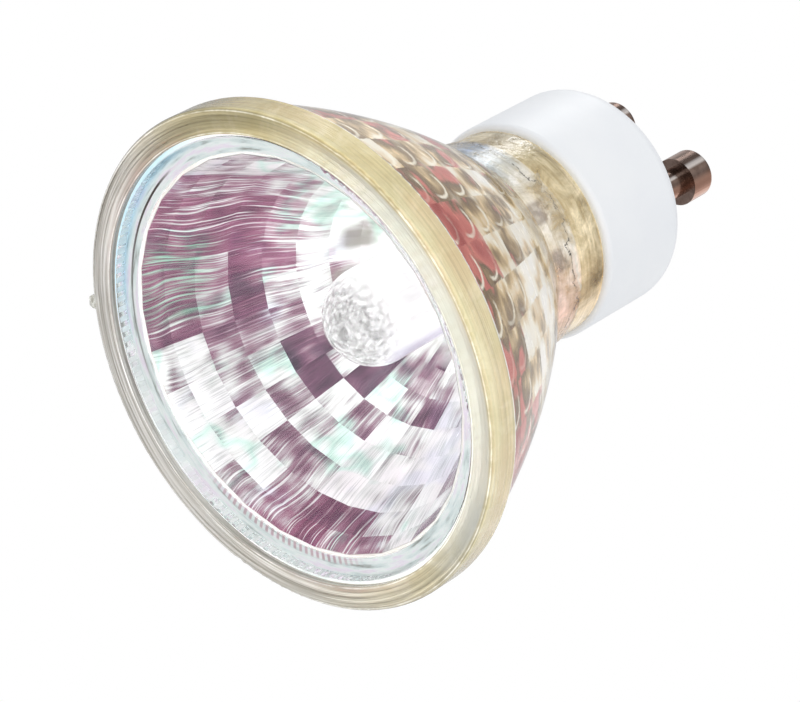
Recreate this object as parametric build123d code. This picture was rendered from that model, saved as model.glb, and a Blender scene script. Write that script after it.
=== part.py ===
"""Mains halogen reflector lamp with a twist-lock base, standing face down on its rim.

The origin is the centre of the front face, +Z runs along the lamp's axis towards the
contact pins, and the two pins stand apart along X, a little off the axis towards -Y.
Sizes are in millimetres.
"""
import os
from math import hypot

from build123d import *

# Rim and front seat of the pressed glass reflector
rim_r = 25.0
rim_height = 3.4
rim_edge_round = 0.4
rim_overhang = 0.6
rim_land = 2.5
seat_width = 2.5

# Flat front glass and the adhesive round its edge
glass_thickness = 2.0
glass_recess = 0.3
glass_edge_gap = 0.4
glass_edge_round = 0.25
sealant_recess = 0.15
sealant_bed = 0.15
sealant_bed_inset = 0.25

# Inside of the reflector: faceted paraboloid and throat hole
bowl_depth = 27.05
facet_columns = 28
facet_rings = 9
facet_ring_growth = 1.28
throat_clearance = 0.9
throat_web = 3.0

# Outside of the reflector: bulged skirt, stepped neck and the spigot in the base
skirt_end_inset = 3.9
skirt_bulge = 1.0
neck_ledge = 0.9
neck_blend = 0.7
neck_front_length = 4.6
neck_step = 0.35
neck_rear_length = 3.9
spigot_length = 4.9
neck_bore_step = 1.2

# Quartz capsule with its flat pinch seal
capsule_r = 4.9
capsule_wall = 0.9
capsule_body_length = 12.4
shoulder_length = 4.8
tip_nub_r = 1.1
tip_nub_height = 0.7
pinch_inset = 3.9
pinch_width = 10.6
pinch_thickness = 3.0
pinch_edge_round = 1.2
pinch_length = 14.0

# Filament and the metal sealed into the pinch
filament_front_inset = 4.0
filament_rear_inset = 0.9
filament_turns = 12.5
filament_coil_r = 0.7
filament_wire_r = 0.13
lead_offset = 2.6
inner_lead_r = 0.3
inner_lead_bend = 0.6
foil_width = 2.2
foil_thickness = 0.12
foil_inset = 1.6
foil_length = 8.0
outer_lead_r = 0.35
outer_lead_bend = 0.9
outer_lead_rise = 1.4
outer_lead_room = 6.4

# Twist-lock contact pins, riveted through the end wall of the base
pin_spacing = 10.0
pin_line_offset = 1.5
pin_reach = 7.4
pin_head_r = 2.5
pin_head_height = 3.1
pin_head_round = 0.4
pin_shank_r = 1.5
pin_hole_clearance = 0.05
pin_collar_r = 2.0
pin_collar_height = 0.6
pin_tail_r = 1.0
rivet_r = 1.9
rivet_height = 0.5
washer_r = 2.7
washer_thickness = 0.5

# Ceramic base with its bevelled back edge
base_wall = 1.6
base_lip = 0.6
base_end_wall = 3.0
base_bevel = 3.6
base_bevel_round = 1.6
base_front_round = 0.6
washer_clearance = 0.3

# Cement between neck and base, and round the pinch in the neck
base_cement_gap = 0.35
base_cement_joint = 0.3
base_cement_recess = 0.3
base_cement_bed = 0.5
base_bed_width = 1.3
capsule_cement_inset = 0.7
capsule_cement_recess = 0.6

# Radii that follow from the sizes above
seat_r = rim_r - rim_land
mouth_r = seat_r - seat_width
skirt_start_r = rim_r - rim_overhang
throat_r = pinch_width / 2 + throat_clearance
neck_bore_r = throat_r + neck_bore_step
pin_x = pin_spacing / 2
pin_y = -pin_line_offset
base_cavity_r = hypot(pin_x, pin_y) + washer_r + washer_clearance
spigot_r = base_cavity_r + base_bed_width
base_socket_r = spigot_r + base_cement_gap
base_r = base_socket_r + base_wall
neck_rear_r = base_r - base_lip
neck_r = neck_rear_r + neck_step
skirt_end_r = neck_r + neck_ledge

# Levels along the axis that follow from the sizes above
glass_back_z = glass_recess + glass_thickness
seat_depth = glass_back_z + sealant_bed
bowl_vertex_z = seat_depth + bowl_depth
skirt_end_z = bowl_vertex_z - skirt_end_inset
neck_step_z = skirt_end_z + neck_front_length
neck_shoulder_z = neck_step_z + neck_rear_length
spigot_end_z = neck_shoulder_z + spigot_length
pinch_start_z = bowl_vertex_z - pinch_inset
pinch_end_z = pinch_start_z + pinch_length
capsule_shoulder_z = pinch_start_z - shoulder_length
capsule_tip_z = capsule_shoulder_z - capsule_body_length
filament_front_z = capsule_tip_z + filament_front_inset
filament_rear_z = capsule_shoulder_z - filament_rear_inset
foil_start_z = pinch_start_z + foil_inset
base_front_z = neck_shoulder_z + base_cement_joint
base_shoulder_z = spigot_end_z + base_cement_bed
base_inner_z = pinch_end_z + outer_lead_room
base_back_z = base_inner_z + base_end_wall


def cylinder(radius, low_z, high_z, x=0.0, y=0.0):
    """Upright solid cylinder between two levels."""
    return Pos(x, y, low_z) * Cylinder(radius, high_z - low_z, align=(Align.CENTER, Align.CENTER, Align.MIN))


def lathe(*lines):
    """Solid turned about the lamp's axis from a half section in the XZ plane."""
    edges = [edge for line in lines for edge in line.edges()]
    return revolve(Plane.XZ * make_face(edges), Axis.Z)


def bowl_z(radius):
    """Level of the paraboloid at a radius."""
    return bowl_vertex_z - bowl_depth * (radius / mouth_r) ** 2


def web_back_z():
    """Level of the back of the glass web round the throat hole."""
    return bowl_z(throat_r) + throat_web


def ring_r(index):
    """Radius where a ring of facets starts, closer together at the steep mouth."""
    share = (index / facet_rings) ** facet_ring_growth
    return mouth_r - (mouth_r - throat_r) * share


def make_bowl():
    """Hollow of the bowl: rings of flat facets in columns, one column centred on each pin."""
    turn = 180 / facet_columns
    radii = [ring_r(index) for index in range(facet_rings + 1)]
    sections = [
        Pos(0, 0, bowl_z(radius)) * RegularPolygon(radius, facet_columns, rotation=turn)
        for radius in radii
    ]
    return loft(sections, ruled=True)


def reflector_outside():
    """Rim, curved skirt and neck as one turned solid."""
    rim_back = (skirt_start_r, rim_height)
    lines = [
        Polyline((0, 0), (rim_r, 0), (rim_r, rim_height), rim_back),
        SagittaArc(rim_back, (skirt_end_r, skirt_end_z), -skirt_bulge),
        Polyline(
            (skirt_end_r, skirt_end_z),
            (neck_r, skirt_end_z + neck_blend),
            (neck_r, neck_step_z),
            (neck_rear_r, neck_step_z + neck_step),
            (neck_rear_r, neck_shoulder_z),
            (spigot_r, neck_shoulder_z),
            (spigot_r, spigot_end_z),
            (0, spigot_end_z),
            (0, 0),
        ),
    ]
    body = lathe(*lines)
    rim_edges = body.edges().filter_by(GeomType.CIRCLE).filter_by(lambda edge: edge.radius > skirt_start_r + 0.1)
    return fillet(rim_edges, rim_edge_round)


def make_reflector():
    """Pressed glass reflector with its faceted bowl, open throat and hollow neck."""
    body = reflector_outside() - cylinder(seat_r, 0, seat_depth) - make_bowl()
    body -= cylinder(throat_r, bowl_z(throat_r), web_back_z())
    return body - cylinder(neck_bore_r, web_back_z(), spigot_end_z)


def make_front_glass():
    """Flat cover disc that lies on the adhesive in the rim."""
    disc = cylinder(seat_r - glass_edge_gap, glass_recess, glass_back_z)
    return fillet(disc.edges().group_by(Axis.Z)[0], glass_edge_round)


def make_front_glass_sealant():
    """Adhesive round the edge of the cover disc and in a thin bed under it."""
    front_z = glass_recess + glass_edge_round + sealant_recess
    bead = cylinder(seat_r, front_z, seat_depth)
    bead -= cylinder(seat_r - glass_edge_gap, front_z, glass_back_z)
    return bead - cylinder(mouth_r + sealant_bed_inset, glass_back_z, seat_depth)


def pinch_section():
    """Outline of the flat pinch where it leaves the shoulder."""
    return Pos(0, 0, pinch_start_z) * RectangleRounded(pinch_width, pinch_thickness, pinch_edge_round)


def make_pinch():
    """Flat pinch seal as a plain solid."""
    return extrude(pinch_section(), pinch_end_z - pinch_start_z)


def capsule_form(radius, front_z, rear_z):
    """Round-nosed cylinder, used for the outside and the gas space of the capsule."""
    dome_z = front_z + radius
    return cylinder(radius, dome_z, rear_z) + Pos(0, 0, dome_z) * Sphere(radius)


def make_capsule(sealed_metal):
    """Quartz capsule: domed tube, shoulder, flat pinch and the cavities of its metal."""
    body = capsule_form(capsule_r, capsule_tip_z, capsule_shoulder_z)
    body += loft([Pos(0, 0, capsule_shoulder_z) * Circle(capsule_r), pinch_section()])
    body += make_pinch()
    body += Pos(0, 0, capsule_tip_z + tip_nub_r - tip_nub_height) * Sphere(tip_nub_r)
    gas_r = capsule_r - capsule_wall
    body -= capsule_form(gas_r, capsule_tip_z + capsule_wall, capsule_shoulder_z)
    for piece in sealed_metal:
        body -= piece
    return body


def bent_wire(points, bend, radius):
    """Round wire through a few points, with its corners rounded."""
    path = FilletPolyline(*points, radius=bend)
    start = Plane(path @ 0, z_dir=path % 0)
    return sweep(start * Circle(radius), path=path)


def make_inner_lead(side, reach_z):
    """Lead from a foil to one end of the filament, bent in to the coil."""
    foot = (side * lead_offset, 0, foil_start_z)
    corner = (side * lead_offset, 0, reach_z)
    tip = (side * (filament_coil_r - inner_lead_r), 0, reach_z)
    return bent_wire([foot, corner, tip], inner_lead_bend, inner_lead_r)


def make_filament(leads):
    """Tungsten coil along the axis, ending in the tips of the two leads."""
    length = filament_rear_z - filament_front_z
    path = Pos(0, 0, filament_front_z) * Helix(length / filament_turns, length, filament_coil_r)
    start = Plane(path @ 0, z_dir=path % 0)
    coil = sweep(start * Circle(filament_wire_r), path=path, is_frenet=True)
    for lead in leads:
        coil -= lead
    return coil


def make_seal_foil(side):
    """Thin foil inside the pinch that joins inner and outer lead."""
    middle_z = foil_start_z + foil_length / 2
    return Pos(side * lead_offset, 0, middle_z) * Box(foil_width, foil_thickness, foil_length)


def make_outer_lead(side):
    """Lead from the foil out of the pinch and over to the tail of its pin."""
    foil_end_z = foil_start_z + foil_length
    turn_z = pinch_end_z + outer_lead_rise
    tail_z = base_inner_z - washer_thickness - rivet_height
    points = [
        (side * lead_offset, 0, foil_end_z),
        (side * lead_offset, 0, turn_z),
        (side * pin_x, pin_y, turn_z + hypot(pin_x - lead_offset, pin_y)),
        (side * pin_x, pin_y, tail_z),
    ]
    return bent_wire(points, outer_lead_bend, outer_lead_r)


def make_ceramic_base():
    """Ceramic cap with a bevelled back edge, stepped bore and two pin holes."""
    back = base_back_z
    body = lathe(Polyline(
        (0, base_front_z),
        (base_r, base_front_z),
        (base_r, back - base_bevel),
        (base_r - base_bevel, back),
        (0, back),
        (0, base_front_z),
    ))
    rings = body.edges().filter_by(GeomType.CIRCLE).group_by(Axis.Z)
    body = fillet(rings[-1] + rings[-2], base_bevel_round)
    body = fillet(body.edges().filter_by(GeomType.CIRCLE).group_by(Axis.Z)[0], base_front_round)
    body -= cylinder(base_socket_r, base_front_z, base_shoulder_z)
    body -= cylinder(base_cavity_r, base_shoulder_z, base_inner_z)
    for side in (1, -1):
        body -= cylinder(pin_shank_r + pin_hole_clearance, base_inner_z, back, side * pin_x, pin_y)
    return body


def make_base_cement():
    """Cement in front of the base, in the gap round the spigot and under its end."""
    body = cylinder(neck_rear_r - base_cement_recess, neck_shoulder_z, base_front_z)
    body += cylinder(base_socket_r, neck_shoulder_z, base_shoulder_z)
    body -= cylinder(spigot_r, neck_shoulder_z, spigot_end_z)
    return body - cylinder(base_cavity_r, spigot_end_z, base_shoulder_z)


def make_capsule_cement():
    """Cement plug that holds the pinch in the bore of the neck."""
    front_z = web_back_z() + capsule_cement_inset
    return cylinder(neck_bore_r, front_z, spigot_end_z - capsule_cement_recess) - make_pinch()


def make_contact_pin(side):
    """Headed pin with a collar outside the end wall and a riveted tail inside it."""
    end_z = base_back_z + pin_reach
    head_z = end_z - pin_head_height
    rivet_z = base_inner_z - washer_thickness
    head = cylinder(pin_head_r, head_z, end_z)
    head = fillet(head.edges().filter_by(GeomType.CIRCLE).group_by(Axis.Z)[-1], pin_head_round)
    pin = head + cylinder(pin_shank_r, base_inner_z, head_z)
    pin += cylinder(pin_collar_r, base_back_z, base_back_z + pin_collar_height)
    pin += cylinder(pin_tail_r, rivet_z, base_inner_z)
    pin += cylinder(rivet_r, rivet_z - rivet_height, rivet_z)
    return Pos(side * pin_x, pin_y, 0) * pin


def make_pin_washer(side):
    """Washer between the rivet and the inside of the end wall."""
    low_z = base_inner_z - washer_thickness
    ring = cylinder(washer_r, low_z, base_inner_z) - cylinder(pin_tail_r, low_z, base_inner_z)
    return Pos(side * pin_x, pin_y, 0) * ring


def make_pieces():
    """All pieces of the lamp by name."""
    pieces = {
        "reflector": make_reflector(),
        "front_glass": make_front_glass(),
        "front_glass_sealant": make_front_glass_sealant(),
        "inner_lead_a": make_inner_lead(1, filament_front_z),
        "inner_lead_b": make_inner_lead(-1, filament_rear_z),
        "ceramic_base": make_ceramic_base(),
        "base_cement": make_base_cement(),
    }
    for name, side in (("a", 1), ("b", -1)):
        pieces["seal_foil_" + name] = make_seal_foil(side)
        pieces["outer_lead_" + name] = make_outer_lead(side)
        pieces["contact_pin_" + name] = make_contact_pin(side)
        pieces["pin_washer_" + name] = make_pin_washer(side)
    pieces["filament"] = make_filament([pieces["inner_lead_a"], pieces["inner_lead_b"]])
    sealed_names = ("inner_lead", "seal_foil", "outer_lead")
    metal = [piece for name, piece in pieces.items() if name.startswith(sealed_names)]
    pieces["capsule_envelope"] = make_capsule(metal)
    pieces["capsule_cement"] = make_capsule_cement()
    return pieces


os.makedirs("parts", exist_ok=True)
for node, shape in make_pieces().items():
    export_step(shape, f"parts/{node}.step")
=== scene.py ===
"""Looks of the halogen reflector lamp: dichroic film, glass, quartz, ceramic, metal, light and camera."""
import math
import random

import bpy
from mathutils import Matrix, Vector


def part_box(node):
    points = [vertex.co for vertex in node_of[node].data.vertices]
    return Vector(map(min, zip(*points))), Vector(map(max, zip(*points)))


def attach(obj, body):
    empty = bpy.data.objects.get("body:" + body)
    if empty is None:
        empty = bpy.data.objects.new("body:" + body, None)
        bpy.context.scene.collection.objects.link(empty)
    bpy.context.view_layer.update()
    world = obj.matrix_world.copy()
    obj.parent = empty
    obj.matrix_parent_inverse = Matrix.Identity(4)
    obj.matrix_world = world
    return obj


MM = 0.001

# Faceted bowl, from the lamp's own sizes
MOUTH_R = 20.0 * MM
BOWL_DEPTH = 27.05 * MM
THROAT_R = 6.2 * MM
FACET_COLUMNS = 28
FACET_RINGS = 9
FACET_RING_GROWTH = 1.28
FACET_CUTS = 6
FACET_PILLOW = 0.10 * MM
FILM_INNER_GAP = 0.04 * MM
FILM_OUTER_GAP = 0.05 * MM

# Painted reflections of the capsule in the bowl, dull and greyish: column, ring and half width, in facets
PAINTED_CAPSULE_REFLECTIONS = ((14.0, 6.9, 0.34), (12.2, 6.5, 0.3), (10.6, 5.6, 0.12))

# Rim and neck of the glass: radii, levels, and the turn and level of two grey spots
RIM_R = 25.0 * MM
RIM_HEIGHT = 3.4 * MM
LAND_R = 22.62 * MM
NECK_Z = 25.6 * MM
NECK_STEP_Z = 30.1 * MM
NECK_SPOTS = ((302.0, 27.2 * MM), (328.0, 27.5 * MM))

# Nose of the capsule, and the painted lilac shadow along one side: its turn and the radii where it fades in
NOSE_R = 4.05 * MM
NOSE_Z = 13.0 * MM
LILAC_SHADE_TURN = 22.0
LILAC_SHADE_R = (4.2 * MM, 5.2 * MM)

# Front adhesive: radii of the bluish zone, the thin dark line and the rosy teeth, and the teeth's
# phase in radians for each degree of turn
BLUE_R = (21.4 * MM, 22.3 * MM)
DARK_LINE_R = 21.05 * MM
TEETH_R = 20.6 * MM
TEETH_PHASE = 3.1

# Blob of adhesive on the rim's edge: turn, distance outside the rim, level and three half sizes
NUB_TURN = 160.5
NUB_OUT = 0.25 * MM
NUB_LEVEL = 0.8 * MM
NUB_HALF = (0.95 * MM, 0.8 * MM, 0.75 * MM)

# Camera
CAMERA_AIM = (-0.00101, 0.00867, 0.020)
CAMERA_AZIMUTH = -54.51
CAMERA_ELEVATION = -41.34
CAMERA_DISTANCE = 0.33297
CAMERA_ROLL = -60.25
CAMERA_LENS = 153.4

# Lamps of the studio: name, direction from the object, distance, size and power
LAMPS = (
    ("front", (0.25, -0.30, -1.0), 0.6, 0.35, 1.9),
    ("over", (-0.60, -0.46, 0.66), 0.6, 0.16, 0.6),
    ("side", (0.8, -0.8, 0.3), 0.7, 0.5, 0.3),
    ("back", (0.2, 0.5, 1.0), 0.7, 0.5, 0.3),
)
LAMP_AIM = (0, 0, 0.025)

WHITE = (1.0, 1.0, 1.0)

bpy.context.scene.view_settings.view_transform = "Standard"
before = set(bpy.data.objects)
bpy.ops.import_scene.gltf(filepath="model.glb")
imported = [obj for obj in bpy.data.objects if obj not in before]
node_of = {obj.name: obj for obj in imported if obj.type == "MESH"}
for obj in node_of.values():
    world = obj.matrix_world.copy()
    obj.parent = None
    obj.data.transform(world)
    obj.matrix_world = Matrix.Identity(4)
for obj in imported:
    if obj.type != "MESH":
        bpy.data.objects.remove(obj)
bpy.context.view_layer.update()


# Shader helpers

def new_material(name):
    """Empty node material; returns it with its tree and its output."""
    material = bpy.data.materials.new(name)
    material.use_nodes = True
    tree = material.node_tree
    tree.nodes.clear()
    output = tree.nodes.new("ShaderNodeOutputMaterial")
    return material, tree, output


def principled(tree, output, **values):
    """Principled shader with the given socket values, wired to the output."""
    shader = tree.nodes.new("ShaderNodeBsdfPrincipled")
    for socket, value in values.items():
        shader.inputs[socket.replace("_", " ")].default_value = value
    tree.links.new(shader.outputs[0], output.inputs["Surface"])
    return shader


def mix_shaders(tree, output, factor, first, second):
    """Mix of two shaders, wired to the output."""
    mix = tree.nodes.new("ShaderNodeMixShader")
    for source, socket in zip((factor, first.outputs[0], second.outputs[0]), mix.inputs):
        tree.links.new(source, socket)
    tree.links.new(mix.outputs[0], output.inputs["Surface"])


def put(tree, value, socket):
    """Give a socket a value: another socket, a number or a colour."""
    if isinstance(value, bpy.types.NodeSocket):
        tree.links.new(value, socket)
    elif isinstance(value, (int, float)):
        socket.default_value = value
    else:
        socket.default_value = (*value, 1.0)


def object_coordinates(tree, scale=(1, 1, 1)):
    """Object coordinates with a scale along each axis."""
    coordinates = tree.nodes.new("ShaderNodeTexCoord")
    mapping = tree.nodes.new("ShaderNodeMapping")
    mapping.inputs["Scale"].default_value = scale
    tree.links.new(coordinates.outputs["Object"], mapping.inputs["Vector"])
    return mapping.outputs["Vector"]


def noise(tree, vector, scale, detail=3.0, roughness=0.5, distortion=0.0):
    """Noise texture; returns its factor."""
    texture = tree.nodes.new("ShaderNodeTexNoise")
    texture.inputs["Scale"].default_value = scale
    texture.inputs["Detail"].default_value = detail
    texture.inputs["Roughness"].default_value = roughness
    texture.inputs["Distortion"].default_value = distortion
    tree.links.new(vector, texture.inputs["Vector"])
    return texture.outputs["Fac"]


def ramp(tree, factor, stops):
    """Colour ramp over a factor; stops are (place, colour)."""
    node = tree.nodes.new("ShaderNodeValToRGB")
    elements = node.color_ramp.elements
    while len(elements) < len(stops):
        elements.new(0.5)
    for element, (place, colour) in zip(elements, stops):
        element.position = place
        element.color = (*colour, 1.0)
    tree.links.new(factor, node.inputs["Fac"])
    return node.outputs["Color"]


def mix_colour(tree, factor, first, second, blend="MIX"):
    """Mix of two colours; each is a socket or a plain colour."""
    node = tree.nodes.new("ShaderNodeMix")
    node.data_type = "RGBA"
    node.blend_type = blend
    put(tree, factor, node.inputs[0])
    put(tree, first, node.inputs[6])
    put(tree, second, node.inputs[7])
    return node.outputs[2]


def shaded(tree, factor, colour, shade):
    """A colour multiplied by a shade, by as much as the factor says."""
    return mix_colour(tree, factor, colour, shade, "MULTIPLY")


def maths(tree, operation, first, second=None, clamp=False):
    """Math node; each input is a socket or a number."""
    node = tree.nodes.new("ShaderNodeMath")
    node.operation = operation
    node.use_clamp = clamp
    put(tree, first, node.inputs[0])
    if second is not None:
        put(tree, second, node.inputs[1])
    return node.outputs[0]


def product(tree, first, *others):
    """Product of sockets and numbers."""
    for other in others:
        first = maths(tree, "MULTIPLY", first, other)
    return first


def total(tree, first, *others):
    """Sum of sockets and numbers."""
    for other in others:
        first = maths(tree, "ADD", first, other)
    return first


def larger(tree, first, second):
    """The larger of two values."""
    return maths(tree, "MAXIMUM", first, second)


def swung(tree, value, amount):
    """A noise factor centred on zero and multiplied by an amount."""
    return product(tree, maths(tree, "SUBTRACT", value, 0.5), amount)


def bump(tree, shader, height, strength, distance):
    """Bump on a shader from a height."""
    node = tree.nodes.new("ShaderNodeBump")
    node.inputs["Strength"].default_value = strength
    node.inputs["Distance"].default_value = distance
    tree.links.new(height, node.inputs["Height"])
    tree.links.new(node.outputs["Normal"], shader.inputs["Normal"])


def spread(tree, value, low, high, to_low=0.0, to_high=1.0):
    """A value carried from one range to another, without leaving it."""
    node = tree.nodes.new("ShaderNodeMapRange")
    for socket, number in (("From Min", low), ("From Max", high), ("To Min", to_low), ("To Max", to_high)):
        node.inputs[socket].default_value = number
    tree.links.new(value, node.inputs["Value"])
    return node.outputs[0]


def roughness_from(tree, shader, factor, low, high):
    """Roughness that varies between two values."""
    tree.links.new(spread(tree, factor, 0.0, 1.0, low, high), shader.inputs["Roughness"])


def band(tree, value, middle, half, edge):
    """1 inside a band of values and 0 outside it, with soft edges."""
    away = maths(tree, "ABSOLUTE", maths(tree, "SUBTRACT", value, middle))
    return spread(tree, away, half + edge, half)


def split(tree, vector):
    """The three parts of a vector."""
    node = tree.nodes.new("ShaderNodeSeparateXYZ")
    tree.links.new(vector, node.inputs["Vector"])
    return node.outputs


def joined(tree, *parts):
    """A vector made of three sockets or numbers."""
    node = tree.nodes.new("ShaderNodeCombineXYZ")
    for socket, part in zip(node.inputs, parts):
        put(tree, part, socket)
    return node.outputs[0]


def round_coordinates(tree):
    """Radius, turn about the axis in degrees from 0 to 360, and level, from object coordinates."""
    coordinates = tree.nodes.new("ShaderNodeTexCoord")
    x, y, z = split(tree, coordinates.outputs["Object"])
    radius = maths(tree, "SQRT", total(tree, product(tree, x, x), product(tree, y, y)))
    behind = maths(tree, "ARCTAN2", product(tree, y, -1.0), product(tree, x, -1.0))
    turn = total(tree, product(tree, behind, 180 / math.pi), 180.0)
    return radius, turn, z


def facet_coordinates(tree):
    """Place on the film in facets: the whole vector, then across the columns and along the rings."""
    uv = tree.nodes.new("ShaderNodeUVMap").outputs["UV"]
    across, along, _ = split(tree, uv)
    return uv, across, along


def face_value(tree, name):
    """A value that was stored on the faces of a mesh."""
    node = tree.nodes.new("ShaderNodeAttribute")
    node.attribute_name = name
    return node.outputs["Fac"]


# Materials

def cover_glass_material():
    """Clear glass with a faint wave in its surface."""
    material, tree, output = new_material("cover_glass_clear")
    shader = principled(tree, output, Transmission_Weight=1.0, IOR=1.25, Base_Color=(*WHITE, 1))
    wave = noise(tree, object_coordinates(tree), 260.0)
    roughness_from(tree, shader, wave, 0.0, 0.05)
    bump(tree, shader, wave, 0.02, 0.2 * MM)
    return material


def rim_look(tree, radius, turn, z, lines, cloud):
    """Colour of the rim, and where its painted edge highlights and its flank are."""
    share = maths(tree, "DIVIDE", turn, 360.0)
    side = ramp(tree, share, [
        (0.0, (0.74, 0.66, 0.42)),
        (0.08, (0.70, 0.63, 0.42)),
        (0.20, (0.70, 0.68, 0.62)),
        (0.40, (0.64, 0.63, 0.60)),
        (0.56, (0.58, 0.55, 0.50)),
        (0.63, (0.52, 0.45, 0.26)),
        (0.74, (0.66, 0.56, 0.27)),
        (1.0, (0.74, 0.66, 0.40)),
    ])
    lined = ramp(tree, lines, [
        (0.34, (0.36, 0.34, 0.30)),
        (0.44, (0.80, 0.79, 0.77)),
        (0.52, (1.05, 1.05, 1.05)),
        (0.60, (1.5, 1.5, 1.55)),
    ])
    mottled = ramp(tree, cloud, [(0.32, (0.84, 0.82, 0.74)), (0.5, WHITE), (0.62, (1.22, 1.26, 1.5))])
    grey_side = ramp(tree, share, [
        (0.05, (0.25, 0.25, 0.25)),
        (0.15, (0.9, 0.9, 0.9)),
        (0.58, (0.9, 0.9, 0.9)),
        (0.70, (0.25, 0.25, 0.25)),
    ])
    cream, grey = shaded(tree, 1.0, side, mottled), shaded(tree, 1.0, side, lined)
    colour = mix_colour(tree, grey_side, cream, grey)

    # Paler land and flank on the side of the coral skirt, and a pale lip round the seat
    flank = spread(tree, radius, RIM_R - 0.18 * MM, RIM_R - 0.05 * MM)
    near_side = larger(tree, spread(tree, turn, 250.0, 285.0), spread(tree, turn, 30.0, 5.0))
    land = product(tree, spread(tree, radius, RIM_R - 0.30 * MM, RIM_R - 0.60 * MM), near_side, 0.8)
    colour = mix_colour(tree, land, colour, (0.90, 0.92, 0.86))
    colour = mix_colour(tree, product(tree, flank, near_side, 0.3), colour, (0.95, 0.89, 0.62))
    lip = spread(tree, radius, MOUTH_R + 1.3 * MM, MOUTH_R + 0.7 * MM)
    colour = mix_colour(tree, lip, colour, (0.93, 0.96, 0.95))

    # Painted highlights as white lines along the edges, and painted shade as a dark outline on the grey side
    outer_edge_highlight = band(tree, radius, RIM_R - 0.26 * MM, 0.03 * MM, 0.06 * MM)
    inner_edge_highlight = band(tree, radius, LAND_R, 0.03 * MM, 0.06 * MM)
    back_edge_highlight = band(tree, z, RIM_HEIGHT - 0.15 * MM, 0.10 * MM, 0.12 * MM)
    edge = product(tree, larger(tree, outer_edge_highlight, inner_edge_highlight), spread(tree, cloud, 0.36, 0.6, 0.1, 0.5))
    edge = larger(tree, edge, product(tree, back_edge_highlight, 0.9))
    colour = mix_colour(tree, edge, colour, (1.0, 1.0, 0.97))
    painted_edge_shade = spread(tree, radius, RIM_R - 0.16 * MM, RIM_R - 0.04 * MM)
    painted_edge_shade = product(tree, painted_edge_shade, band(tree, turn, 128.0, 92.0, 22.0), 0.75)
    return mix_colour(tree, painted_edge_shade, colour, (0.16, 0.17, 0.13)), edge, flank


def neck_look(tree, turn, z, cloud, fine):
    """Colour of the neck, and where its crack is."""
    side = ramp(tree, maths(tree, "DIVIDE", turn, 360.0), [
        (0.0, (0.98, 0.66, 0.54)),
        (0.08, (0.96, 0.82, 0.66)),
        (0.60, (0.80, 0.64, 0.34)),
        (0.65, (0.62, 0.60, 0.56)),
        (0.69, (0.42, 0.55, 0.82)),
        (0.74, (0.72, 0.80, 0.86)),
        (0.78, (0.92, 0.90, 0.84)),
        (0.90, (0.97, 0.92, 0.84)),
        (1.0, (0.98, 0.66, 0.54)),
    ])
    behind_step = spread(tree, z, NECK_STEP_Z - 0.5 * MM, NECK_STEP_Z + 0.5 * MM)
    colour = mix_colour(tree, product(tree, behind_step, 0.7), side, (0.90, 0.74, 0.40))
    blotches = ramp(tree, cloud, [
        (0.30, (0.66, 0.58, 0.46)),
        (0.42, (0.94, 0.90, 0.80)),
        (0.55, (1.04, 1.04, 1.02)),
        (0.66, (1.3, 1.3, 1.36)),
    ])
    colour = shaded(tree, 0.85, colour, blotches)
    place = joined(tree, product(tree, turn, 0.03), 0.0, product(tree, z, 2600.0))
    rings = noise(tree, place, 1.0, 3.0, 0.6)
    ringed = ramp(tree, rings, [(0.36, (0.74, 0.70, 0.62)), (0.50, WHITE), (0.62, (1.12, 1.12, 1.14))])
    colour = shaded(tree, 0.8, colour, ringed)

    # Grey spots, a pale ridge and a crack, all on a level that wanders a little
    level = total(tree, z, swung(tree, cloud, 5 * MM))
    for spot_turn, spot_z in NECK_SPOTS:
        spot = product(
            tree,
            band(tree, turn, spot_turn, 4.6, 2.5),
            band(tree, level, spot_z, 0.8 * MM, 0.5 * MM),
            spread(tree, fine, 0.3, 0.55, 0.5, 0.9),
        )
        colour = mix_colour(tree, spot, colour, (0.34, 0.29, 0.26))
    ridge = band(tree, level, NECK_STEP_Z + 0.1 * MM, 0.12 * MM, 0.15 * MM)
    colour = mix_colour(tree, product(tree, ridge, 0.6), colour, (1.0, 0.98, 0.9))
    crack = band(tree, level, NECK_STEP_Z - 0.8 * MM, 0.04 * MM, 0.07 * MM)
    crack = product(tree, crack, spread(tree, fine, 0.34, 0.46))
    return mix_colour(tree, crack, colour, (0.07, 0.06, 0.05)), crack


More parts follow.
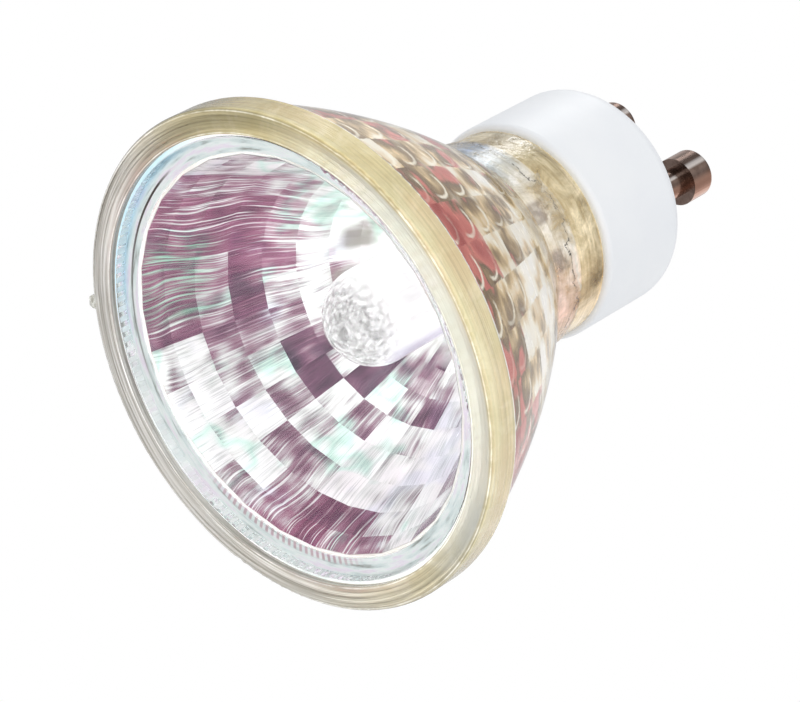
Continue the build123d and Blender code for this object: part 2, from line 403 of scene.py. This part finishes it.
def reflector_material():
    """Pressed glass: rim grey on one side and cream on the other, clear skirt, amber neck."""
    material, tree, output = new_material("reflector_glass_pressed")
    shader = principled(tree, output, IOR=1.38)
    radius, turn, z = round_coordinates(tree)
    place = joined(tree, product(tree, radius, 3200.0), product(tree, z, 3200.0), product(tree, turn, 0.02))
    lines = noise(tree, place, 1.0, 3.0, 0.6)
    cloud = noise(tree, object_coordinates(tree), 260.0, 5.0, 0.65, 0.5)
    fine = noise(tree, object_coordinates(tree), 1400.0, 3.0, 0.6)
    rim_colour, edge, flank = rim_look(tree, radius, turn, z, lines, cloud)
    neck_colour, crack = neck_look(tree, turn, z, cloud, fine)

    in_rim = spread(tree, z, RIM_HEIGHT + 0.6 * MM, RIM_HEIGHT - 0.1 * MM)
    in_neck = spread(tree, z, NECK_Z - 0.6 * MM, NECK_Z + 0.6 * MM)
    stained = larger(tree, in_rim, in_neck)
    colour = mix_colour(tree, in_rim, (0.98, 0.96, 0.91), rim_colour)
    colour = mix_colour(tree, in_neck, colour, neck_colour)
    tree.links.new(colour, shader.inputs["Base Color"])
    # Less clear in the rim, the neck, the painted edge highlights and the crack
    milky = total(
        tree,
        product(tree, in_rim, spread(tree, flank, 0.0, 1.0, 0.44, 0.74)),
        product(tree, in_neck, spread(tree, cloud, 0.35, 0.65, 0.2, 0.75)),
        product(tree, larger(tree, edge, crack), stained),
    )
    clear = maths(tree, "SUBTRACT", 1.0, milky, clamp=True)
    tree.links.new(clear, shader.inputs["Transmission Weight"])
    roughness_from(tree, shader, product(tree, cloud, stained), 0.0, 0.22)
    relief = product(tree, cloud, total(tree, in_neck, 0.25))
    bump(tree, shader, total(tree, product(tree, lines, in_rim), relief), 0.6, 0.3 * MM)
    return material


def film_inside_material():
    """Dichroic mirror film seen from the front: plum, with white facets and fine streaks, partly its own
    colour and partly painted reflections of the studio.
    """
    material, tree, output = new_material("dichroic_inside")
    shader = principled(tree, output, Metallic=0.35)
    tone, swing, mosaic, streaky = (face_value(tree, name) for name in ("tone", "swing", "mosaic", "streaky"))
    uv, across, along = facet_coordinates(tree)
    place = joined(tree, product(tree, across, 0.9), product(tree, along, 0.8), swing)
    patch = noise(tree, place, 1.3, 1.0)
    drift = product(tree, noise(tree, uv, 0.45, 0.0), 0.7)
    place = joined(tree, product(tree, total(tree, across, drift), 17.0), product(tree, along, 0.3), 0.0)
    hairs = noise(tree, place, 1.0, 2.0, 0.6)
    place = joined(tree, product(tree, across, 3.0), product(tree, along, 0.5), 4.0)
    waves = noise(tree, place, 1.6, 3.0, 0.6)

    # From plum to white, by the facet's tone, its own clouds and the streaks: partly the film's own colour,
    # partly painted reflections of the studio
    level = total(tree, tone, swung(tree, patch, mosaic), swung(tree, waves, 0.35), swung(tree, hairs, 0.5))
    level = total(tree, level, product(tree, spread(tree, along, 3.0, 7.0, 0.0, 0.42), streaky))
    pale_hairs = product(tree, spread(tree, hairs, 0.54, 0.70, 0.0, 0.55), streaky)
    level = maths(tree, "ADD", level, pale_hairs, clamp=True)
    pale_stops = [(0.55, (0.64, 0.63, 0.63)), (0.64, (0.86, 0.88, 0.86)), (0.76, WHITE)]
    greyer = ramp(tree, level, [
        (0.0, (0.075, 0.04, 0.07)),
        (0.22, (0.15, 0.075, 0.125)),
        (0.38, (0.27, 0.165, 0.22)),
        (0.48, (0.44, 0.38, 0.41)),
    ] + pale_stops)
    rosier = ramp(tree, level, [
        (0.0, (0.10, 0.035, 0.085)),
        (0.20, (0.25, 0.075, 0.15)),
        (0.38, (0.40, 0.155, 0.25)),
        (0.48, (0.52, 0.36, 0.42)),
    ] + pale_stops)
    colour = mix_colour(tree, streaky, greyer, rosier)
    place = joined(tree, product(tree, across, 34.0), product(tree, along, 0.7), swing)
    hatch = total(tree, noise(tree, place, 1.0, 1.0), swung(tree, patch, 0.5))
    shade = ramp(tree, hatch, [(0.34, (0.66, 0.68, 0.68)), (0.44, (0.90, 0.92, 0.92)), (0.54, WHITE)])
    colour = shaded(tree, 0.9, colour, shade)

    # Soft haze in the throat, which starts deeper on one side, and the painted dull reflections of the
    # capsule
    vector = object_coordinates(tree)
    soft = noise(tree, vector, 190.0, 3.0, 0.55, 0.8)
    depth = total(tree, along, swung(tree, soft, 6.0))
    depth = maths(tree, "SUBTRACT", depth, product(tree, band(tree, across, 8.4, 3.0, 2.0), 2.4))
    haze = ramp(tree, noise(tree, vector, 260.0, 3.0, 0.55, 0.6), [
        (0.34, (0.30, 0.26, 0.25)),
        (0.42, (0.58, 0.60, 0.56)),
        (0.50, (0.84, 0.88, 0.85)),
        (0.57, WHITE),
    ])
    colour = mix_colour(tree, spread(tree, depth, 4.4, 6.6, 0.0, 0.85), colour, haze)
    for column, ring, half in PAINTED_CAPSULE_REFLECTIONS:
        bands = band(tree, across, column, half, 0.35), band(tree, along, ring, half, 0.35)
        colour = mix_colour(tree, product(tree, *bands, 0.85), colour, (0.27, 0.25, 0.22))

    # Mint hairs at one side of the mouth, and a faint mint and lilac shift everywhere
    mint = product(
        tree,
        band(tree, across, 13.6, 0.8, 0.5),
        spread(tree, along, 3.0, 2.0),
        spread(tree, hairs, 0.48, 0.60, 0.0, 0.75),
    )
    colour = mix_colour(tree, mint, colour, (0.30, 0.56, 0.42))
    shift = ramp(tree, noise(tree, vector, 150.0, 2.0), [
        (0.34, (0.86, 0.87, 0.98)),
        (0.42, (1.0, 0.99, 1.0)),
        (0.56, WHITE),
        (0.62, (0.62, 0.96, 0.84)),
        (0.69, WHITE),
    ])
    tree.links.new(shaded(tree, 0.75, colour, shift), shader.inputs["Base Color"])
    roughness_from(tree, shader, waves, 0.15, 0.32)
    bump(tree, shader, total(tree, waves, product(tree, hairs, streaky)), 0.3, 0.1 * MM)
    return material


def film_outside_material():
    """The back of the film seen through the glass: coral, olive and amber facets among clear ones."""
    material, tree, output = new_material("dichroic_outside")
    shader = principled(tree, output, Metallic=0.2)
    tone, swing = face_value(tree, "tone"), face_value(tree, "swing")
    _, across, along = facet_coordinates(tree)
    patch = noise(tree, joined(tree, across, along, swing), 1.0, 0.0)
    place = joined(tree, product(tree, across, 1.6), product(tree, along, 3.0), swing)
    hairs = noise(tree, place, 1.0, 1.0, 0.6)
    level = total(tree, tone, swung(tree, patch, 0.65))
    level = maths(tree, "ADD", level, swung(tree, hairs, 0.3), clamp=True)
    colour = ramp(tree, level, [
        (0.0, (0.38, 0.05, 0.045)),
        (0.26, (0.66, 0.19, 0.16)),
        (0.32, (0.17, 0.10, 0.045)),
        (0.42, (0.30, 0.20, 0.09)),
        (0.50, (0.74, 0.56, 0.32)),
        (0.58, (0.95, 0.90, 0.78)),
        (0.72, (0.99, 0.98, 0.95)),
    ])

    # Painted highlights: pale corners and a bright crescent on each facet, as light through a row of small
    # lenses would give
    aside, ahead = (maths(tree, "SUBTRACT", maths(tree, "FRACT", facets), 0.5) for facets in (across, along))
    away = total(tree, product(tree, aside, aside), product(tree, ahead, ahead))
    painted_corner_light = product(tree, spread(tree, away, 0.24, 0.42), spread(tree, along, 2.0, 4.0, 0.0, 0.6))
    colour = mix_colour(tree, painted_corner_light, colour, (0.93, 0.88, 0.74))
    painted_crescent_highlight = product(
        tree,
        band(tree, maths(tree, "SQRT", away), 0.40, 0.02, 0.045),
        spread(tree, total(tree, aside, ahead), 0.0, 0.25),
        spread(tree, patch, 0.40, 0.55, 0.2, 0.9),
    )
    tree.links.new(mix_colour(tree, painted_crescent_highlight, colour, (1.0, 0.96, 0.84)), shader.inputs["Base Color"])
    roughness_from(tree, shader, hairs, 0.15, 0.35)
    return material


def ceramic_material():
    """Smooth white ceramic, faintly uneven."""
    material, tree, output = new_material("white_ceramic")
    shader = principled(tree, output, Specular_IOR_Level=0.4)
    vector = object_coordinates(tree)
    cloud = noise(tree, vector, 90.0, 4.0)
    colour = ramp(tree, cloud, [(0.3, (0.76, 0.78, 0.81)), (0.7, (0.82, 0.835, 0.85))])
    tree.links.new(colour, shader.inputs["Base Color"])
    grain = noise(tree, vector, 2600.0)
    roughness_from(tree, shader, grain, 0.38, 0.55)
    bump(tree, shader, grain, 0.12, 0.1 * MM)
    return material


def scratch(tree, shader, low, high):
    """Fine scratches along the axis on a metal, in its roughness and its surface."""
    scratches = noise(tree, object_coordinates(tree, (1, 1, 0.08)), 4200.0, 2.0)
    roughness_from(tree, shader, scratches, low, high)
    bump(tree, shader, scratches, 0.15, 0.05 * MM)


def pin_material():
    """Dull tarnished nickel plate with painted light and shade in bands by the view, darker towards its
    sides, coppery on one of them from tarnish and a painted warm reflection, and a painted highlight strip.
    """
    material, tree, output = new_material("nickel_pins")
    shader = principled(tree, output, Metallic=1.0)
    # Painted light and shade in bands by how squarely the surface faces the view
    facing = tree.nodes.new("ShaderNodeLayerWeight")
    facing.inputs["Blend"].default_value = 0.35
    colour = ramp(tree, facing.outputs["Facing"], [
        (0.05, (0.42, 0.35, 0.31)),
        (0.20, (0.24, 0.17, 0.14)),
        (0.36, (0.07, 0.045, 0.035)),
        (0.52, (0.12, 0.07, 0.05)),
        (0.72, (0.42, 0.25, 0.19)),
        (0.95, (0.54, 0.38, 0.31)),
    ])
    tarnish = noise(tree, object_coordinates(tree), 900.0, 4.0, 0.6)
    colour = shaded(tree, 0.8, colour, ramp(tree, tarnish, [(0.3, (0.5, 0.46, 0.44)), (0.6, WHITE)]))
    # Coppery on one side: partly tarnish, partly a painted warm reflection
    normal_x, normal_y, _ = split(tree, tree.nodes.new("ShaderNodeTexCoord").outputs["Normal"])
    towards = total(tree, product(tree, normal_x, 0.81), product(tree, normal_y, 0.58))
    colour = mix_colour(tree, spread(tree, towards, 0.15, 0.65, 0.0, 0.75), colour, (0.50, 0.26, 0.18))
    # A painted highlight strip along the pins
    painted_highlight_strip = product(tree, band(tree, towards, -0.30, 0.06, 0.10), 0.6)
    tree.links.new(mix_colour(tree, painted_highlight_strip, colour, (0.90, 0.84, 0.80)), shader.inputs["Base Color"])
    scratch(tree, shader, 0.12, 0.3)
    return material


def metal_material(name, dark, light, low, high):
    """Metal with fine scratches and uneven tarnish."""
    material, tree, output = new_material(name)
    shader = principled(tree, output, Metallic=1.0)
    tarnish = noise(tree, object_coordinates(tree), 700.0, 4.0, 0.6)
    tree.links.new(ramp(tree, tarnish, [(0.3, dark), (0.7, light)]), shader.inputs["Base Color"])
    scratch(tree, shader, low, high)
    return material


def cement_material():
    """Cream cement with a pitted grain."""
    material, tree, output = new_material("cream_cement")
    shader = principled(tree, output)
    grain = noise(tree, object_coordinates(tree), 900.0, 5.0, 0.65)
    colour = ramp(tree, grain, [(0.3, (0.52, 0.43, 0.26)), (0.7, (0.80, 0.72, 0.52))])
    tree.links.new(colour, shader.inputs["Base Color"])
    roughness_from(tree, shader, grain, 0.6, 0.85)
    bump(tree, shader, grain, 0.4, 0.3 * MM)
    return material


def quartz_material():
    """Quartz of the capsule, pebbled at its nose, with a painted lilac shadow along one side, and elsewhere a
    faint painted glow that makes it bright.
    """
    material, tree, output = new_material("quartz")
    shader = principled(tree, output, IOR=1.44, Emission_Color=(*WHITE, 1))
    radius, turn, z = round_coordinates(tree)
    vector = object_coordinates(tree)
    pebbles = tree.nodes.new("ShaderNodeTexVoronoi")
    pebbles.feature = "SMOOTH_F1"
    pebbles.inputs["Scale"].default_value = 1600.0
    tree.links.new(vector, pebbles.inputs["Vector"])
    distance = pebbles.outputs["Distance"]
    nose = product(
        tree,
        spread(tree, radius, NOSE_R + 0.65 * MM, NOSE_R - 0.65 * MM),
        spread(tree, z, NOSE_Z + 0.8 * MM, NOSE_Z - 0.8 * MM),
    )
    # A painted lilac shadow along one side
    lilac = product(tree, band(tree, turn, LILAC_SHADE_TURN, 12.0, 10.0), spread(tree, radius, *LILAC_SHADE_R, 0.0, 0.9))
    colour = mix_colour(tree, lilac, WHITE, (0.44, 0.39, 0.62))
    seams = ramp(tree, distance, [(0.22, WHITE), (0.42, (0.88, 0.89, 0.88)), (0.56, (0.50, 0.50, 0.49))])
    colour = mix_colour(tree, product(tree, nose, 0.9), colour, seams)
    tree.links.new(colour, shader.inputs["Base Color"])
    # A faint painted glow on the body, away from the nose and the painted lilac shadow
    painted_glow = spread(tree, larger(tree, nose, lilac), 0.0, 1.0, 0.15, 0.0)
    tree.links.new(painted_glow, shader.inputs["Emission Strength"])
    tree.links.new(spread(tree, nose, 0.0, 1.0, 0.50, 0.72), shader.inputs["Transmission Weight"])
    roughness_from(tree, shader, noise(tree, vector, 300.0), 0.03, 0.14)
    bump(tree, shader, product(tree, distance, nose), 1.0, 1.0 * MM)
    return material


def sealant_material():
    """Milky adhesive with uneven streaks, bluish on one side, with a thin dark line and a row of rosy teeth.
    """
    material, tree, output = new_material("milky_sealant")
    shader = principled(tree, output, IOR=1.41)
    radius, turn, _ = round_coordinates(tree)
    place = joined(tree, product(tree, radius, 1500.0), 0.0, product(tree, turn, 0.06))
    cloud = noise(tree, place, 1.0, 4.0, 0.65)
    colour = ramp(tree, cloud, [
        (0.32, (0.52, 0.53, 0.51)),
        (0.42, (0.82, 0.88, 0.88)),
        (0.52, (0.95, 0.98, 0.97)),
        (0.60, (0.92, 0.87, 0.94)),
        (0.68, (1.0, 1.0, 0.98)),
    ])
    blue = product(tree, band(tree, turn, 190.0, 22.0, 20.0), spread(tree, radius, *BLUE_R, 0.0, 0.6))
    colour = mix_colour(tree, blue, colour, (0.45, 0.78, 0.96))
    row = maths(tree, "SINE", product(tree, turn, TEETH_PHASE))
    teeth = product(
        tree,
        band(tree, turn, 82.0, 20.0, 10.0),
        band(tree, radius, TEETH_R, 0.3 * MM, 0.2 * MM),
        spread(tree, row, -0.2, 0.4, 0.0, 0.6),
    )
    colour = mix_colour(tree, teeth, colour, (0.62, 0.40, 0.46))
    dark_line = product(
        tree,
        band(tree, radius, DARK_LINE_R, 0.07 * MM, 0.08 * MM),
        band(tree, turn, 174.0, 28.0, 8.0),
        spread(tree, turn, 165.0, 190.0, 0.45, 1.0),
    )
    colour = mix_colour(tree, dark_line, colour, (0.12, 0.09, 0.08))
    tree.links.new(colour, shader.inputs["Base Color"])
    roughness_from(tree, shader, cloud, 0.25, 0.5)
    bump(tree, shader, cloud, 0.3, 0.3 * MM)
    return material


def adhesive_material():
    """Clear adhesive of the nub, greyish in places."""
    material, tree, output = new_material("clear_adhesive")
    shader = principled(tree, output, Transmission_Weight=0.55, IOR=1.45)
    cloud = noise(tree, object_coordinates(tree), 1800.0, 3.0, 0.6)
    colour = ramp(tree, cloud, [(0.38, (0.46, 0.44, 0.38)), (0.55, (0.86, 0.86, 0.80))])
    tree.links.new(colour, shader.inputs["Base Color"])
    roughness_from(tree, shader, cloud, 0.05, 0.2)
    bump(tree, shader, cloud, 0.5, 0.3 * MM)
    return material


# Faceted film

def ring_radius(index):
    """Radius where a ring of facets starts."""
    return MOUTH_R - (MOUTH_R - THROAT_R) * (index / FACET_RINGS) ** FACET_RING_GROWTH


def bowl_level(radius, seat_level):
    """Level of the bowl at a radius."""
    return seat_level + BOWL_DEPTH * (1 - (radius / MOUTH_R) ** 2)


def facet_corners(ring, column, seat_level, gap):
    """Corners of one flat facet, moved towards the axis by a gap."""
    corners = []
    for index, side in ((ring, 0), (ring, 1), (ring + 1, 1), (ring + 1, 0)):
        radius = ring_radius(index)
        angle = math.radians((column + side - 0.5) * 360 / FACET_COLUMNS)
        level = bowl_level(radius, seat_level)
        corners.append(Vector(((radius - gap) * math.cos(angle), (radius - gap) * math.sin(angle), level)))
    return corners


def near(angle, centre, width):
    """1 at an angle about the axis, falling to 0 on both sides of it."""
    away = (angle - centre + 180) % 360 - 180
    return math.exp(-(away / width) ** 2)


def held(value):
    """A value held between 0 and 1."""
    return min(1.0, max(0.0, value))


def inside_facet(ring, column, source):
    """Tone, patchiness and streaks of a facet seen from the front: the zones about the axis are painted
    reflections of the studio, the random part is the film's own unevenness.
    """
    angle = column * 360 / FACET_COLUMNS
    # Painted reflections of the studio, in pale, dark and streaky zones about the axis
    plum_fan = near(angle, 74, 24) * held(1 - ring / 2.5)
    streaky = held(near(angle, 187, 33) + plum_fan + 0.6 * near(angle, 300, 30))
    pale = 0.36 * near(angle, 40, 13) + 0.26 * near(angle, 224, 14)
    pale += 0.46 * near(angle, 120, 18) * held(1 - ring / 4)
    pale += 0.34 * near(angle, 74, 20) * held(ring - 1) * held(1 - ring / 7)
    pale += 0.34 * near(angle, 202, 22) * held((ring - 4) / 2)
    dark = 0.17 * streaky + 0.26 * near(angle, 150, 13) * held(1 - ring / 3)
    dark += 0.12 * near(angle, 122, 36) * held(ring - 2.5)
    lone = source.uniform(-0.26, 0.26) * (1 - 0.85 * streaky)
    return {
        "tone": 0.45 + lone + pale - dark,
        "mosaic": 0.8 * (1 - 0.6 * streaky),
        "streaky": 0.15 + 0.85 * streaky,
    }


def outside_facet(ring, column, source):
    """Tone of the back of a facet: olive on one side, coral near the rim, amber and clear elsewhere."""
    angle = column * 360 / FACET_COLUMNS
    olive = held(1.6 * near(angle, 254, 30))
    rim_zone = math.exp(-((ring + source.uniform(-0.4, 0.6)) / 3.1) ** 6)
    coral = (1 - 0.95 * olive) * (1 - 0.6 * near(angle, 334, 20)) * rim_zone
    lone = source.uniform(-0.10, 0.10) * (1 - 0.6 * coral)
    return {"tone": 0.58 - 0.15 * olive - 0.46 * coral + lone}


def film_mesh(name, gap, pillow, material, look_of):
    """Film over all facets, each of which bulges by the pillow's height."""
    seat_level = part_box("front_glass_sealant")[1].z
    vertices, faces, uvs, looks = [], [], [], []
    source = random.Random(name)
    cuts = FACET_CUTS
    for ring in range(FACET_RINGS):
        for column in range(FACET_COLUMNS):
            corners = facet_corners(ring, column, seat_level, gap)
            normal = (corners[1] - corners[0]).cross(corners[3] - corners[0]).normalized()
            if normal.z > 0:
                normal.negate()
            first = len(vertices)
            look = {**look_of(ring, column, source), "swing": source.uniform(0, 50)}
            for row in range(cuts + 1):
                v = row / cuts
                left, right = corners[0].lerp(corners[3], v), corners[1].lerp(corners[2], v)
                for step in range(cuts + 1):
                    u = step / cuts
                    lift = pillow * 16 * u * (1 - u) * v * (1 - v)
                    vertices.append(left.lerp(right, u) + normal * lift)
            for row in range(cuts):
                for step in range(cuts):
                    a = first + row * (cuts + 1) + step
                    faces.append((a, a + 1, a + cuts + 2, a + cuts + 1))
                    for du, dv in ((0, 0), (1, 0), (1, 1), (0, 1)):
                        uvs.append((column + (step + du) / cuts, ring + (row + dv) / cuts))
                    looks.append(look)
    mesh = bpy.data.meshes.new(name)
    mesh.from_pydata(vertices, [], faces)
    layer = mesh.uv_layers.new(name="UVMap")
    for loop, uv in zip(layer.data, uvs):
        loop.uv = uv
    for attribute in looks[0]:
        values = [look[attribute] for look in looks]
        mesh.attributes.new(attribute, "FLOAT", "FACE").data.foreach_set("value", values)
    mesh.shade_smooth()
    mesh.materials.append(material)
    film = bpy.data.objects.new(name, mesh)
    bpy.context.scene.collection.objects.link(film)
    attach(film, "root")


def make_adhesive_nub(material):
    """Small blob of clear adhesive left on the edge of the rim."""
    bpy.ops.mesh.primitive_ico_sphere_add(subdivisions=4, radius=1.0)
    nub = bpy.context.object
    nub.name = "adhesive_nub"
    turn = math.radians(NUB_TURN)
    outward = Vector((math.cos(turn), math.sin(turn), 0))
    sideways = Vector((-math.sin(turn), math.cos(turn), 0))
    upward = Vector((0, 0, 1))
    middle = outward * (RIM_R + NUB_OUT) + upward * NUB_LEVEL
    half_out, half_side, half_level = NUB_HALF
    source = random.Random("adhesive nub")
    for vertex in nub.data.vertices:
        out, side, level = vertex.co
        swell = 1 + 0.12 * math.sin(5 * side + 3 * level) + source.uniform(-0.01, 0.01)
        across = outward * out * half_out * swell + sideways * side * half_side
        vertex.co = middle + across + upward * level * half_level
    nub.data.materials.append(material)
    nub.data.shade_smooth()
    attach(nub, "root")


# Light, background and camera

def make_world():
    """White for the camera, soft and uneven for everything that mirrors it."""
    world = bpy.data.worlds.new("studio")
    bpy.context.scene.world = world
    world.use_nodes = True
    tree = world.node_tree
    tree.nodes.clear()
    output = tree.nodes.new("ShaderNodeOutputWorld")
    white = tree.nodes.new("ShaderNodeBackground")
    white.inputs["Color"].default_value = (*WHITE, 1)
    studio = tree.nodes.new("ShaderNodeBackground")
    coordinates = tree.nodes.new("ShaderNodeTexCoord")
    cloud = noise(tree, coordinates.outputs["Generated"], 1.6, 1.0)
    colour = ramp(tree, cloud, [(0.36, (0.62, 0.63, 0.65)), (0.54, WHITE)])
    tree.links.new(colour, studio.inputs["Color"])
    path = tree.nodes.new("ShaderNodeLightPath")
    mix_shaders(tree, output, path.outputs["Is Camera Ray"], studio, white)


def make_floor():
    """Pale floor under the rim, seen only from above and only by the camera."""
    bpy.ops.mesh.primitive_plane_add(size=3.0, location=(0, 0, -0.2 * MM))
    floor = bpy.context.object
    floor.name = "floor"
    material, tree, output = new_material("floor_pale")
    shader = principled(
        tree, output,
        Base_Color=(0.97, 0.97, 0.97, 1), Roughness=0.8, Emission_Color=(*WHITE, 1), Emission_Strength=0.12,
    )
    clear = tree.nodes.new("ShaderNodeBsdfTransparent")
    side = tree.nodes.new("ShaderNodeNewGeometry")
    mix_shaders(tree, output, side.outputs["Backfacing"], shader, clear)
    floor.data.materials.append(material)
    floor.visible_glossy = False
    floor.visible_transmission = False
    floor.visible_diffuse = False
    floor.visible_shadow = False


def make_area_light(name, direction, distance, size, power):
    """Soft lamp that points at the middle of the object."""
    data = bpy.data.lights.new(name, "AREA")
    data.size = size
    data.energy = power
    light = bpy.data.objects.new(name, data)
    towards = Vector(direction).normalized()
    light.location = Vector(LAMP_AIM) + towards * distance
    light.rotation_euler = towards.to_track_quat("Z", "Y").to_euler()
    bpy.context.scene.collection.objects.link(light)


def make_camera():
    """Camera in front of the rim and to one side, rolled so that the base points to the upper right."""
    azimuth, elevation = math.radians(CAMERA_AZIMUTH), math.radians(CAMERA_ELEVATION)
    back = Vector((
        math.cos(elevation) * math.cos(azimuth),
        math.cos(elevation) * math.sin(azimuth),
        math.sin(elevation),
    ))
    level_right = Vector((0, 0, 1)).cross(back).normalized()
    level_up = back.cross(level_right)
    roll = math.radians(CAMERA_ROLL)
    up = level_up * math.cos(roll) + level_right * math.sin(roll)
    right = up.cross(back)
    data = bpy.data.cameras.new("camera")
    data.lens = CAMERA_LENS
    data.sensor_width = 36.0
    data.clip_start = 0.01
    camera = bpy.data.objects.new("camera", data)
    place = Vector(CAMERA_AIM) + back * CAMERA_DISTANCE
    turn = Matrix((right, up, back)).transposed().to_4x4()
    camera.matrix_world = Matrix.Translation(place) @ turn
    bpy.context.scene.collection.objects.link(camera)
    bpy.context.scene.camera = camera


def dress(node, material, casts_shadow=True):
    """Give a CAD node its material, and say whether it casts a shadow."""
    piece = node_of[node]
    piece.data.materials.clear()
    piece.data.materials.append(material)
    piece.visible_shadow = casts_shadow


# Assembly

nickel = pin_material()
wire = metal_material("lead_wire", (0.30, 0.30, 0.32), (0.55, 0.55, 0.57), 0.3, 0.5)
tungsten = metal_material("tungsten_wire", (0.16, 0.16, 0.18), (0.34, 0.34, 0.36), 0.35, 0.55)
cement = cement_material()

dress("reflector", reflector_material(), casts_shadow=False)
dress("front_glass", cover_glass_material(), casts_shadow=False)
dress("front_glass_sealant", sealant_material())
dress("capsule_envelope", quartz_material(), casts_shadow=False)
dress("filament", tungsten)
dress("ceramic_base", ceramic_material())
dress("capsule_cement", cement)
dress("base_cement", cement)
for side in ("a", "b"):
    for name in ("inner_lead_", "seal_foil_", "outer_lead_"):
        dress(name + side, wire)
    dress("contact_pin_" + side, nickel)
    dress("pin_washer_" + side, nickel)

film_mesh("film_inside", FILM_INNER_GAP, FACET_PILLOW, film_inside_material(), inside_facet)
film_mesh("film_outside", -FILM_OUTER_GAP, 0.0, film_outside_material(), outside_facet)
make_adhesive_nub(adhesive_material())

make_world()
make_floor()
for lamp in LAMPS:
    make_area_light(*lamp)
make_camera()
